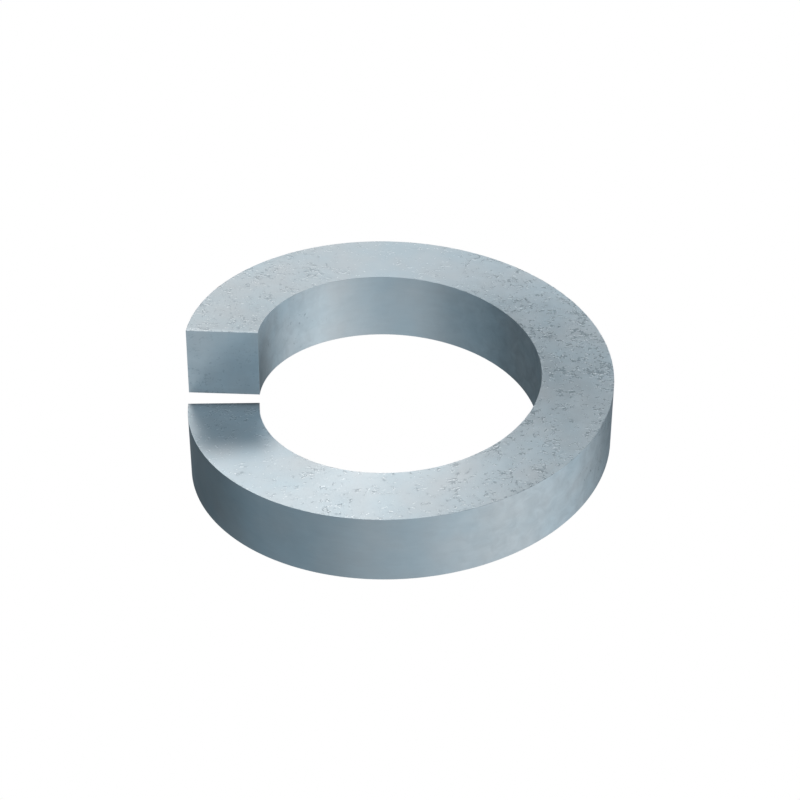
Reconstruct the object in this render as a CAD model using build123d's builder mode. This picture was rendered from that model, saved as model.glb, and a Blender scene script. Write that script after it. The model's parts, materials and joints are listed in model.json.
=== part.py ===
from build123d import *
import math
import os

# Split spring lock washer: one turn of square steel bar, wound as a right-hand helix.
# The origin is on the bore's axis, level with the lowest edge, and +Z is the bore's axis.
# The slit between the two ends is centred on -X, with the lower end on its -Y side.

# Driving sizes, in millimetres
bore_diameter = 6.3     # clears an M6 screw
section_width = 1.6     # from the bore to the rim
section_height = 1.6    # from one bearing face to the other, square to the coil
end_opening = 0.13      # height that is open between the two ends of the free washer
slit_width = 0.29       # from one end face to the other, along the mean coil
edge_radius = 0.03      # broken edges along the coil; the cut ends keep sharp corners
trim_stock = 0.4        # width that the bar has to spare on each wall before it is trimmed

# The coil that these sizes give
bore_radius = bore_diameter / 2
rim_radius = bore_radius + section_width
mean_radius = bore_radius + section_width / 2
slit_angle = math.degrees(slit_width / mean_radius)
coil_angle = 360 - slit_angle
coil_rise = section_height + end_opening
coil_pitch = coil_rise * 360 / coil_angle
lead_angle = math.atan(coil_pitch / (2 * math.pi * mean_radius))
lower_end_angle = slit_angle / 2 - 180
lower_end_middle = section_height / 2 * math.cos(lead_angle)

with BuildPart() as spring_washer:
    # The middle line of the bar climbs from the lower end round to the upper end
    with BuildLine(Plane.XY.offset(lower_end_middle)) as coil:
        turn = Helix(pitch=coil_pitch, height=coil_rise, radius=mean_radius, mode=Mode.PRIVATE)
        add(turn.rotate(Axis.Z, lower_end_angle))

    # The bar's section stands square to the coil, and so do both cut ends
    lower_end = coil.line @ 0
    outward = Vector(lower_end.X, lower_end.Y, 0)
    with BuildSketch(Plane(origin=lower_end, x_dir=outward, z_dir=coil.line % 0)) as section:
        Rectangle(section_width + 2 * trim_stock, section_height)
    sweep(path=coil.line, is_frenet=True)

    # Both walls are trimmed to true cylinders about the bore's axis, each with its seam in the slit
    with BuildSketch(Plane.XY.rotated((0, 0, 180))) as ring:
        Circle(rim_radius)
        Circle(bore_radius, mode=Mode.SUBTRACT)
    extrude(amount=coil_rise + section_height, both=True, mode=Mode.INTERSECT)

    # The four edges along the coil are broken: two at the bore, two at the rim
    half_bore_turn = math.pi * bore_radius
    coil_edges = spring_washer.edges().filter_by(lambda edge: edge.length > half_bore_turn)
    fillet(coil_edges, edge_radius)

spring_washer.part.label = "spring_washer"

os.makedirs("parts", exist_ok=True)
export_step(spring_washer.part, "parts/spring_washer.step")
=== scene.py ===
import json
import math

import bpy
import numpy as np
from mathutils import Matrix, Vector, noise


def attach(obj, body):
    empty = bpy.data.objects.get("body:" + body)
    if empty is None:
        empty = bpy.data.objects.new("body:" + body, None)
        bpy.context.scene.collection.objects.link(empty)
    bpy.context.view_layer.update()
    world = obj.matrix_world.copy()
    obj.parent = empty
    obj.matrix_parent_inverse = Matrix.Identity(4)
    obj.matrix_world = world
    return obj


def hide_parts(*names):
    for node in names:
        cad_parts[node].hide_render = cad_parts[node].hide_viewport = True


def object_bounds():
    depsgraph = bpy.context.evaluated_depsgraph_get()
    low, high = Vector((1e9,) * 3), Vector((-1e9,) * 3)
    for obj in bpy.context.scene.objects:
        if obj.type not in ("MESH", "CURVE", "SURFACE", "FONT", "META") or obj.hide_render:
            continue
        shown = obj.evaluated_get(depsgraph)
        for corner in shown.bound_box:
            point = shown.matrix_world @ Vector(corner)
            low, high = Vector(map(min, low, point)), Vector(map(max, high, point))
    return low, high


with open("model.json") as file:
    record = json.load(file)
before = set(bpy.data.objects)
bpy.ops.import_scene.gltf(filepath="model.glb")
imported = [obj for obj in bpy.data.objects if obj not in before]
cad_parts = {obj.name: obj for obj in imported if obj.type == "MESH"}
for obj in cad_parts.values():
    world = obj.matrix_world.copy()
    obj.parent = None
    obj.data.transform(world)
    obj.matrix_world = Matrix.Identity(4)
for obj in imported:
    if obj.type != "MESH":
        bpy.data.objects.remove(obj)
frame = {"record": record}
cad_low, cad_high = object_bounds()

# Sizes of the washer, in metres, from the frame
MM = 0.001
bore = next(mount for mount in frame["record"]["mounts"] if mount["name"] == "bore")
bore_radius = bore["dims"]["r_mm"] * MM
rim_radius = cad_high.x
free_height = cad_high.z
section_width = rim_radius - bore_radius
section_height = section_width
slit_width = 0.29 * MM
edge_radius = 0.003 * MM

# The coil that these sizes give, as the frame has it
mean_radius = (bore_radius + rim_radius) / 2
coil_angle = 2 * math.pi - slit_width / mean_radius
lower_end_angle = slit_width / mean_radius / 2 - math.pi
coil_rise = free_height - section_height
lead_angle = math.atan(coil_rise / coil_angle / mean_radius)
coil_rise = free_height - section_height * math.cos(lead_angle)

# How finely the piece is meshed; the sides are the rim wall, the top, the bore wall and the underside
STEPS_ALONG = 760
STEPS_PER_SIDE = (14, 48, 14, 16)
STEPS_PER_CORNER = 3
STEPS_PER_CUT_EDGE = 3
STEPS_OVER_DROOP = (0.03, 0.2, 0.4, 0.6, 0.8, 1)
CAP_RINGS = 14
SHARP_ANGLE = math.radians(40)

# The fractal noise that shapes the wear: how fast its finer features fade, and how much finer each is
NOISE_FADE = 0.7
NOISE_STEP = 2.0
NOISE_OCTAVES = 2

# Wear that has a shape: shallow dents, nibbles out of the upper edges, and the droop of the top and the
# underside at a cut end
DENT_DEPTH = 0.0015 * MM
DENT_SPACING = 0.4 * MM
NIBBLE_DEPTH = 0.003 * MM
NIBBLE_SPACING = 0.12 * MM
NIBBLE_REACH = 0.06 * MM
DROOP = 0.003 * MM
DROOP_REACH = 0.09 * MM

# Short ragged pits whose raised lip is painted pale on its near side as a painted highlight, and longer
# gouges of the same kind
PIT_SPACING = 0.14 * MM
PIT_BREAK_SPACING = 0.12 * MM
PIT_BREAKS = 0.115
PIT_CLUSTER_SPACING = 0.45 * MM
PIT_CLUSTERS = 0.05
PIT_DEPTH = 0.0028 * MM
PIT_SOFTNESS = 0.02
LIP_WIDTH = 0.035 * MM
PIT_SQUEEZE = (0.8, 1, 1)
GOUGE_SQUEEZE = (0.35, 0.8, 1)

# How many pits there are, as a share; the right is the side of +X and the back that of +Y
PITS_ON_FACES = 0.86
MORE_AT_THE_SIDES = 0.09
MORE_BY_EDGES_AT_RIGHT = 0.1
FEWER_AT_THE_BACK = 0.03
PITS_ON_BORE_WALL = 0.1
MORE_ON_BORE_WALL_AT_LEFT = 0.45
PITS_ON_RIM_WALL_AT_RIGHT = 0.7

# How deep the pits are, as a share
PITS_DEEP = 0.12
DEEPER_AT_RIGHT = 0.66
DEEPER_AT_LEFT = 0.12
DEEPER_BELOW_UPPER_END = 0.29
DEEPER_ON_BORE_WALL_AT_LEFT = 0.4

# The coat between the pits
GRAIN_SPACING = 0.03 * MM
MARK_SPACING = 0.16 * MM
MARK_SQUEEZE = (0.3, 0.3, 1.5)
SMUDGE_SPACING = 0.3 * MM
HUE_SPACING = 1.0 * MM
MOTTLE_SPACING = 1.6 * MM
DARK_COAT = (0.50, 0.55, 0.58, 1)
PALE_COAT = (0.73, 0.80, 0.84, 1)
WARM_HUE = (1.04, 1.0, 0.985, 1)
COOL_HUE = (0.97, 1.0, 1.015, 1)
# Pale colour of the pits' lips on their near side, a painted highlight
LIP_HIGHLIGHT_COLOUR = (0.95, 0.98, 1.0, 1)
# Dark colour of the pits, partly the coat's own dark pits and partly painted shade in the recesses
PIT_COLOUR_AND_SHADE = (0.10, 0.155, 0.19, 1)

# The camera of the photograph
CAMERA_AZIMUTH = math.radians(-89.06)
CAMERA_ELEVATION = math.radians(35.56)
CAMERA_DISTANCE = 49.86 * MM
CAMERA_LENS = 100.0
CAMERA_NEAREST = 1 * MM
CAMERA_FARTHEST = 10.0

FLOOR_REACH = 2.0

# The studio's soft lights: azimuth and elevation in degrees, how narrow, brightness and tint
WARM = Vector((1.04, 1.0, 0.96))
NEUTRAL = Vector((0.96, 1.0, 1.02))
COOL = Vector((0.9, 1.0, 1.06))
BLUE = Vector((0.75, 1.0, 1.16))
HIGH_AND_REAR_LIGHTS = [
    (180, 40, 8, 0.8, COOL),
    (330, 35, 4, 0.55, COOL),
    (270, 75, 8, 0.35, COOL),
    (150, 0, 20, 0.8, COOL),
    (205, 0, 20, 0.5, COOL),
]
LOW_LIGHTS_SEEN_IN_THE_WALLS = [
    (10, -30, 8, 0.55, COOL),
    (235, -30, 8, 0.15, BLUE),
    (340, -10, 20, 0.85, COOL),
    (270, 10, 20, 1.05, BLUE),
    (250, -35, 20, 0.15, WARM),
    (265, -25, 20, 0.35, COOL),
    (300, -40, 20, 0.6, COOL),
    (330, -30, 20, 0.45, WARM),
    (190, -60, 20, 0.45, BLUE),
]
NARROW_LIGHTS_SEEN_IN_THE_TOP = [
    (55, 28, 160, 4.6, COOL),
    (75, 28, 160, 3.2, COOL),
    (90, 24, 160, 1.2, WARM),
    (92, 36, 160, 0.85, NEUTRAL),
    (101, 36, 160, 1.7, NEUTRAL),
    (110, 36, 160, 3.0, WARM),
]
SOFT_LIGHTS = HIGH_AND_REAR_LIGHTS + LOW_LIGHTS_SEEN_IN_THE_WALLS + NARROW_LIGHTS_SEEN_IN_THE_TOP
SURROUNDINGS = 0.08 * BLUE


def add_node(tree, kind, inputs, **settings):
    """A new node with its settings, and its inputs, each a value or another node's output."""
    made = tree.nodes.new("ShaderNode" + kind)
    for name, value in settings.items():
        setattr(made, name, value)
    for name, value in inputs.items():
        if isinstance(value, bpy.types.NodeSocket):
            tree.links.new(value, made.inputs[name])
        else:
            made.inputs[name].default_value = value
    return made


def section_outline():
    """The bar's section, anticlockwise: points (out, up) from its middle, and the way each one faces."""
    flat = section_width / 2 - edge_radius
    rise = section_height / 2 - edge_radius
    corners = [(flat, -rise, -90), (flat, rise, 0), (-flat, rise, 90), (-flat, -rise, 180)]
    points = []
    facings = []
    for index, (out, up, start) in enumerate(corners):
        for step in range(STEPS_PER_CORNER + 1):
            angle = math.radians(start + 90 * step / STEPS_PER_CORNER)
            facing = np.array([math.cos(angle), math.sin(angle)])
            points.append(np.array([out, up]) + edge_radius * facing)
            facings.append(facing)
        next_out, next_up, _ = corners[(index + 1) % len(corners)]
        here = points[-1]
        there = np.array([next_out, next_up]) + edge_radius * facing
        side = there - here
        margin = edge_radius / np.linalg.norm(side) / 2
        steps = STEPS_PER_SIDE[index]
        for share in np.concatenate([[margin], np.arange(1, steps) / steps, [1 - margin]]):
            points.append(here + side * share)
            facings.append(facing)
    return np.array(points), np.array(facings)


def rows_along_coil():
    """How far each row of points is turned from the lower end, and how far inside the full section it is."""
    bend = np.radians(np.linspace(0, 90, STEPS_PER_CUT_EDGE + 1))
    edge_turned = edge_radius * (1 - np.cos(bend)) / mean_radius
    edge_inset = edge_radius * (1 - np.sin(bend))
    droop_turned = DROOP_REACH / mean_radius * np.array(STEPS_OVER_DROOP)
    start = np.concatenate([edge_turned, edge_turned[-1] + droop_turned])
    middle = np.linspace(start[-1], coil_angle - start[-1], STEPS_ALONG + 1)[1:-1]
    turned = np.concatenate([start, middle, coil_angle - start[::-1]])
    inset = np.zeros_like(turned)
    inset[:len(edge_inset)] = edge_inset
    inset[-len(edge_inset):] = edge_inset[::-1]
    return turned, inset


def on_coil(turned, out, up):
    """Points of the bar: turned from the lower end, out from its middle line and up square to it."""
    angle = lower_end_angle + turned
    radial = np.stack([np.cos(angle), np.sin(angle), np.zeros_like(angle)], axis=-1)
    along = np.stack([-np.sin(angle), np.cos(angle), np.zeros_like(angle)], axis=-1)
    upward = math.cos(lead_angle) * np.array([0, 0, 1]) - math.sin(lead_angle) * along
    height = section_height / 2 * math.cos(lead_angle) + coil_rise * turned / coil_angle
    middle = mean_radius * radial + height[..., None] * np.array([0, 0, 1])
    return middle + out[..., None] * radial + up[..., None] * upward


def fractal_noise(places, spacing):
    """Fractal noise at the places, whose largest features are about a spacing apart."""
    flat = (places / spacing).reshape(-1, 3).tolist()
    values = [noise.fractal(place, NOISE_FADE, NOISE_STEP, NOISE_OCTAVES) for place in flat]
    return np.array(values).reshape(places.shape[:-1])


def smooth_step(values, low, high):
    """From 0 to 1 as the values go from low to high, with a soft start and end."""
    share = np.clip((values - low) / (high - low), 0, 1)
    return share * share * (3 - 2 * share)


def pitting(places, upright):
    """How many pits the sides of the bar have there, and how deep they are, both as shares."""
    # Zones of the washer, in shares of the rim's radius
    x = places[..., 0] / rim_radius
    y = places[..., 1] / rim_radius
    radius = np.hypot(x, y) * rim_radius
    right = smooth_step(x, 0.05, 0.6) * (1 - 0.2 * smooth_step(y, 0.3, 0.7))
    left = smooth_step(-x, 0.1, 0.45) * smooth_step(y, -0.4, -0.2)
    back = smooth_step(y, 0.55, 0.8) * smooth_step(-np.abs(x - 0.12), -0.4, -0.2)
    by_edge = smooth_step(np.abs(radius - mean_radius) / section_width, 0.3, 0.48)
    left_of_bore = smooth_step(-x, 0.3, 0.55)
    right_of_rim = smooth_step(x, 0.6, 0.95)
    front = smooth_step(-y, 0.2, 0.6)
    below_upper_end = left * smooth_step(-y, 0, 0.2)

    # The faces above and below have the most, and the walls have some only here and there
    faces = PITS_ON_FACES + (MORE_AT_THE_SIDES + MORE_BY_EDGES_AT_RIGHT * by_edge) * right
    faces = faces + MORE_AT_THE_SIDES * left - FEWER_AT_THE_BACK * back
    bore_wall = PITS_ON_BORE_WALL + MORE_ON_BORE_WALL_AT_LEFT * left_of_bore
    walls = np.where(radius < mean_radius, bore_wall, PITS_ON_RIM_WALL_AT_RIGHT * right_of_rim)
    many = walls + (faces - walls) * smooth_step(upright, 0.5, 0.9)

    # The pits on the right are the deepest, a little less so towards the front
    deep = PITS_DEEP + DEEPER_AT_RIGHT * right * (1 - 0.25 * front) + DEEPER_AT_LEFT * left
    deep = deep + DEEPER_BELOW_UPPER_END * below_upper_end
    on_bore_wall = np.where(radius < mean_radius, DEEPER_ON_BORE_WALL_AT_LEFT * left_of_bore, 0)
    return many, deep + (1 - upright) * on_bore_wall


def end_pitting(low):
    """How many pits a cut end has and how deep they are: more the lower, from 0 at its top to 1."""
    return np.stack([0.7 + 0.3 * low, 0.15 + 0.15 * low], axis=-1)


def worn_sections(outline, facings, turned, inset, places, deep):
    """Each row's section, with dents and drooping ends in its faces and nibbles out of its edges."""
    corner = np.array([section_width, section_height]) / 2
    from_end = np.minimum(turned, coil_angle - turned)[:, None] * mean_radius
    from_edge = np.linalg.norm(np.abs(outline) - corner, axis=1)

    dents = smooth_step(fractal_noise(places, DENT_SPACING), 0.15, 0.6)
    droop = np.clip(1 - from_end / DROOP_REACH, 0, 1)
    upright = np.abs(facings[:, 1])
    sunk = inset[:, None] + upright * (DENT_DEPTH * dents * deep + DROOP * droop)

    nibbles = smooth_step(fractal_noise(places, NIBBLE_SPACING), -0.1, 0.7)
    near_edge = np.clip(1 - np.minimum(from_edge, from_end) / NIBBLE_REACH, 0, 1) ** 2
    high = smooth_step(outline[:, 1], -corner[1], 0)
    bitten = NIBBLE_DEPTH * nibbles * near_edge * deep * high
    out = outline[:, 0] - sunk * facings[:, 0] - bitten * outline[:, 0] / corner[0]
    up = outline[:, 1] - sunk * facings[:, 1] - bitten * outline[:, 1] / corner[1]
    return out, up


def quads_between(first, second, around):
    """The faces between two rings of points, each ring given by the number of its first point."""
    faces = []
    for column in range(around):
        beside = (column + 1) % around
        faces.append((first + column, first + beside, second + beside, second + column))
    return faces


def washer_mesh():
    """The coiled bar as a closed mesh: rows of quads along it, and rings of faces over both cut ends."""
    outline, facings = section_outline()
    turned, inset = rows_along_coil()
    around, rows = len(outline), len(turned)
    turned_grid = np.repeat(turned[:, None], around, axis=1)
    places = on_coil(turned_grid, np.tile(outline[:, 0], (rows, 1)), np.tile(outline[:, 1], (rows, 1)))
    many, deep = pitting(places, np.abs(facings[:, 1]))
    out, up = worn_sections(outline, facings, turned, inset, places, deep)
    points = [on_coil(turned_grid, out, up).reshape(-1, 3)]
    pitted = [np.stack([many, deep], axis=-1).reshape(-1, 2)]
    faces = []
    for row in range(rows - 1):
        faces += quads_between(row * around, (row + 1) * around, around)

    # Rings over each cut end, from its edge to a point in its middle
    count = len(points[0])
    shrinks = [1 - edge_radius / section_width] + [1 - step / CAP_RINGS for step in range(1, CAP_RINGS)]
    for at, row in ((0.0, 0), (coil_angle, rows - 1)):
        ring = row * around
        cap = []
        for shrink in shrinks:
            points.append(on_coil(np.full(around, at), out[row] * shrink, up[row] * shrink))
            pitted.append(end_pitting(0.5 - up[row] * shrink / section_height))
            cap += quads_between(ring, count, around)
            ring = count
            count += around
        points.append(on_coil(np.array([at]), np.zeros(1), np.zeros(1)))
        pitted.append(end_pitting(np.array([0.5])))
        cap += [(ring + column, ring + (column + 1) % around, count) for column in range(around)]
        count += 1
        faces += [face[::-1] for face in cap] if row == 0 else cap

    mesh = bpy.data.meshes.new("coiled_bar")
    mesh.from_pydata(np.concatenate(points).tolist(), [], faces)
    mesh.update()
    mesh.shade_smooth()
    mesh.set_sharp_from_angle(angle=SHARP_ANGLE)
    for name, values in zip(("pits_many", "pits_deep"), np.concatenate(pitted).T):
        attribute = mesh.attributes.new(name, "FLOAT", "POINT")
        attribute.data.foreach_set("value", values)
    return mesh


def zinc_coated_steel():
    """Satin blue-grey zinc over steel, with pits, gouges, a fine grain, draw marks and smudges; the pits are
    darkened partly as painted shade, and their lips are painted pale on the near side as a painted
    highlight.
    """
    material = bpy.data.materials.new("zinc_coat")
    material.use_nodes = True
    tree = material.node_tree
    surface = add_node(tree, "TexCoord", {})
    place = surface.outputs["Object"]
    up = add_node(tree, "SeparateXYZ", {"Vector": surface.outputs["Normal"]}).outputs["Z"]
    many = add_node(tree, "Attribute", {}, attribute_name="pits_many").outputs["Fac"]
    deep = add_node(tree, "Attribute", {}, attribute_name="pits_deep").outputs["Fac"]

    def math_node(operation, first, second):
        return add_node(tree, "Math", {0: first, 1: second}, operation=operation).outputs[0]

    def vector_node(operation, first, second):
        return add_node(tree, "VectorMath", {0: first, 1: second}, operation=operation).outputs[0]

    def mix(share, first, second):
        """The first colour, with a share of the second."""
        return add_node(tree, "MixRGB", {"Fac": share, "Color1": first, "Color2": second}).outputs[0]

    def soft_spots(spacing, detail, rough, at=place, swirl=0.0):
        """Noise from 0 to 1 whose largest spots are about a spacing across."""
        look = {"Scale": 1 / spacing, "Detail": detail, "Roughness": rough, "Distortion": swirl}
        return add_node(tree, "TexNoise", {"Vector": at, **look}).outputs["Fac"]

    def ramp(value, low, high, to_low=0.0, to_high=1.0):
        """The value, from low to high, made to run between two others."""
        inputs = {"Value": value, "From Min": low, "From Max": high, "To Min": to_low, "To Max": to_high}
        return add_node(tree, "MapRange", inputs).outputs["Result"]

    def share_to(share, low, high):
        """A share made to run between two values."""
        return ramp(share, 0, 1, low, high)

    def wander(spots, low, high):
        """Soft spots made to wander between two values; nearly all of them lie from 0.3 to 0.7."""
        return ramp(spots, 0.3, 0.7, low, high)

    # How wide the pits are: they come in clusters, and are broken into short pieces
    clusters = wander(soft_spots(PIT_CLUSTER_SPACING, 2, 0.5), -PIT_CLUSTERS, PIT_CLUSTERS)
    breaks = wander(soft_spots(PIT_BREAK_SPACING, 3, 0.7), -PIT_BREAKS, PIT_BREAKS)
    level = math_node("ADD", share_to(many, -0.15, -0.015), math_node("ADD", clusters, breaks))
    width = ramp(level, -0.05, 0.05, -0.06, 0.045)

    def pits_at(at):
        """The pits, which follow the middle level of a ragged noise."""
        from_line = math_node("SUBTRACT", soft_spots(PIT_SPACING, 2, 0.55, at, 0.8), 0.5)
        from_line = math_node("ABSOLUTE", from_line, 0)
        return ramp(math_node("SUBTRACT", from_line, width), 0, PIT_SOFTNESS, 1, 0)

    def pits_with_lips(squeeze):
        """The pits, which run longer from side to side, and the lip on the near side of each."""
        at = vector_node("MULTIPLY", place, squeeze)
        beyond = vector_node("ADD", at, (0, LIP_WIDTH, 0))
        pits = pits_at(at)
        return pits, math_node("MULTIPLY", pits_at(beyond), share_to(pits, 1, 0))

    # Short pits everywhere, and longer gouges only where the pits are deep; the walls have no lips
    flatness = math_node("MULTIPLY", up, up)
    pits, lip = pits_with_lips(PIT_SQUEEZE)
    gouges, gouge_lip = pits_with_lips(GOUGE_SQUEEZE)
    gouged = ramp(deep, 0.45, 0.78)
    pits = math_node("MAXIMUM", pits, math_node("MULTIPLY", gouges, gouged))
    lip = math_node("MAXIMUM", lip, math_node("MULTIPLY", gouge_lip, gouged))
    lip = math_node("MULTIPLY", lip, flatness)

    # A fine grain, faint draw marks that run round the walls, cloudy smudges and a broad mottle
    grain = soft_spots(GRAIN_SPACING, 2, 0.6)
    marks = soft_spots(MARK_SPACING, 3, 0.6, vector_node("MULTIPLY", place, MARK_SQUEEZE))
    mottle = soft_spots(MOTTLE_SPACING, 3, 0.55)
    smudges = ramp(soft_spots(SMUDGE_SPACING, 4, 0.55, place, 0.6), 0.35, 0.65, -0.3, 0.3)
    smudges = math_node("MULTIPLY", smudges, share_to(flatness, 1, 0.4))

    # The coat's tone and its hue, which wanders a little, then a painted highlight on the near side of each
    # pit's lip and the pits, darkened partly as painted shade, over it
    tone = math_node("ADD", wander(marks, 0.45, 0.55), wander(mottle, -0.11, 0.11))
    tone = math_node("ADD", tone, math_node("MULTIPLY", smudges, deep))
    hue = mix(wander(soft_spots(HUE_SPACING, 2, 0.5), 0, 1), WARM_HUE, COOL_HUE)
    coat = vector_node("MULTIPLY", mix(tone, DARK_COAT, PALE_COAT), hue)
    # Painted highlight: the lips on the near (-Y) side of the pits on the faces are painted pale, most where
    # the pits are shallow
    lip_highlight = math_node("MULTIPLY", lip, share_to(deep, 0.95, 0.6))
    # Painted shade: the pits are darkened towards a near-black blue, partly their own dark and partly shade
    # in the recesses, more where the pits are deeper
    dark = math_node("MULTIPLY", pits, share_to(deep, 0.03, 0.58))
    colour = mix(dark, mix(lip_highlight, coat, LIP_HIGHLIGHT_COLOUR), PIT_COLOUR_AND_SHADE)

    # Rougher in the pits, which are sunk and have raised lips
    rough = math_node("ADD", wander(mottle, 0.31, 0.37), share_to(pits, 0, 0.08))
    relief = math_node("SUBTRACT", share_to(lip, 0, 0.8), pits)
    height = math_node("ADD", share_to(grain, 0, 0.05), math_node("MULTIPLY", relief, deep))
    bump = add_node(tree, "Bump", {"Height": height, "Strength": 1.0, "Distance": PIT_DEPTH})

    shader = tree.nodes["Principled BSDF"]
    shader.inputs["Metallic"].default_value = 1.0
    tree.links.new(colour, shader.inputs["Base Color"])
    tree.links.new(rough, shader.inputs["Roughness"])
    tree.links.new(bump.outputs["Normal"], shader.inputs["Normal"])
    return material


def direction(azimuth, elevation):
    """The way to a place far off, from its two angles in radians."""
    level = math.cos(elevation)
    return Vector((level * math.cos(azimuth), level * math.sin(azimuth), math.sin(elevation)))


def add_camera():
    """The photograph's camera, which looks at the middle of the washer's box."""
    back = direction(CAMERA_AZIMUTH, CAMERA_ELEVATION)
    data = bpy.data.cameras.new("photo_camera")
    data.lens = CAMERA_LENS
    data.clip_start = CAMERA_NEAREST
    data.clip_end = CAMERA_FARTHEST
    camera = bpy.data.objects.new("photo_camera", data)
    camera.location = Vector((0, 0, free_height / 2)) + back * CAMERA_DISTANCE
    camera.rotation_mode = "QUATERNION"
    camera.rotation_quaternion = (-back).to_track_quat("-Z", "Y")
    bpy.context.collection.objects.link(camera)
    bpy.context.scene.camera = camera


def add_floor():
    """A plain white floor, which the washer doesn't reflect."""
    mesh = bpy.data.meshes.new("floor")
    corners = [(x * FLOOR_REACH, y * FLOOR_REACH, 0) for x, y in ((-1, -1), (1, -1), (1, 1), (-1, 1))]
    mesh.from_pydata(corners, [], [(0, 1, 2, 3)])
    floor = bpy.data.objects.new("floor", mesh)
    material = bpy.data.materials.new("floor")
    material.use_nodes = True
    tree = material.node_tree
    tree.nodes.clear()
    glow = add_node(tree, "Emission", {})
    add_node(tree, "OutputMaterial", {"Surface": glow.outputs[0]})
    mesh.materials.append(material)
    bpy.context.collection.objects.link(floor)
    floor.visible_diffuse = False
    floor.visible_glossy = False
    floor.visible_shadow = False


def add_studio():
    """Soft lights all round, each of which fades from its middle, and plain white behind the object."""
    world = bpy.data.worlds.new("studio")
    world.use_nodes = True
    bpy.context.scene.world = world
    tree = world.node_tree
    towards = add_node(tree, "TexCoord", {}).outputs["Generated"]
    light = SURROUNDINGS
    for azimuth, elevation, narrow, brightness, tint in SOFT_LIGHTS:
        middle = direction(math.radians(azimuth), math.radians(elevation))
        close = add_node(tree, "VectorMath", {0: towards, 1: middle}, operation="DOT_PRODUCT")
        from_middle = {0: close.outputs["Value"], 1: narrow, 2: -narrow}
        away = add_node(tree, "Math", from_middle, operation="MULTIPLY_ADD")
        fade = add_node(tree, "Math", {0: away.outputs[0]}, operation="EXPONENT")
        lit = {0: fade.outputs[0], 1: brightness * tint, 2: light}
        light = add_node(tree, "VectorMath", lit, operation="MULTIPLY_ADD").outputs[0]
    studio = tree.nodes["Background"]
    tree.links.new(light, studio.inputs["Color"])
    white = add_node(tree, "Background", {"Color": (1, 1, 1, 1)})
    seen = add_node(tree, "LightPath", {}).outputs["Is Camera Ray"]
    mix = add_node(tree, "MixShader", {"Fac": seen, 1: studio.outputs[0], 2: white.outputs[0]})
    tree.links.new(mix.outputs[0], tree.nodes["World Output"].inputs["Surface"])


washer = bpy.data.objects.new("coiled_washer", washer_mesh())
washer.data.materials.append(zinc_coated_steel())
bpy.context.collection.objects.link(washer)
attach(washer, "root")
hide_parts("spring_washer")

add_camera()
add_floor()
add_studio()
bpy.context.scene.view_settings.view_transform = "Standard"
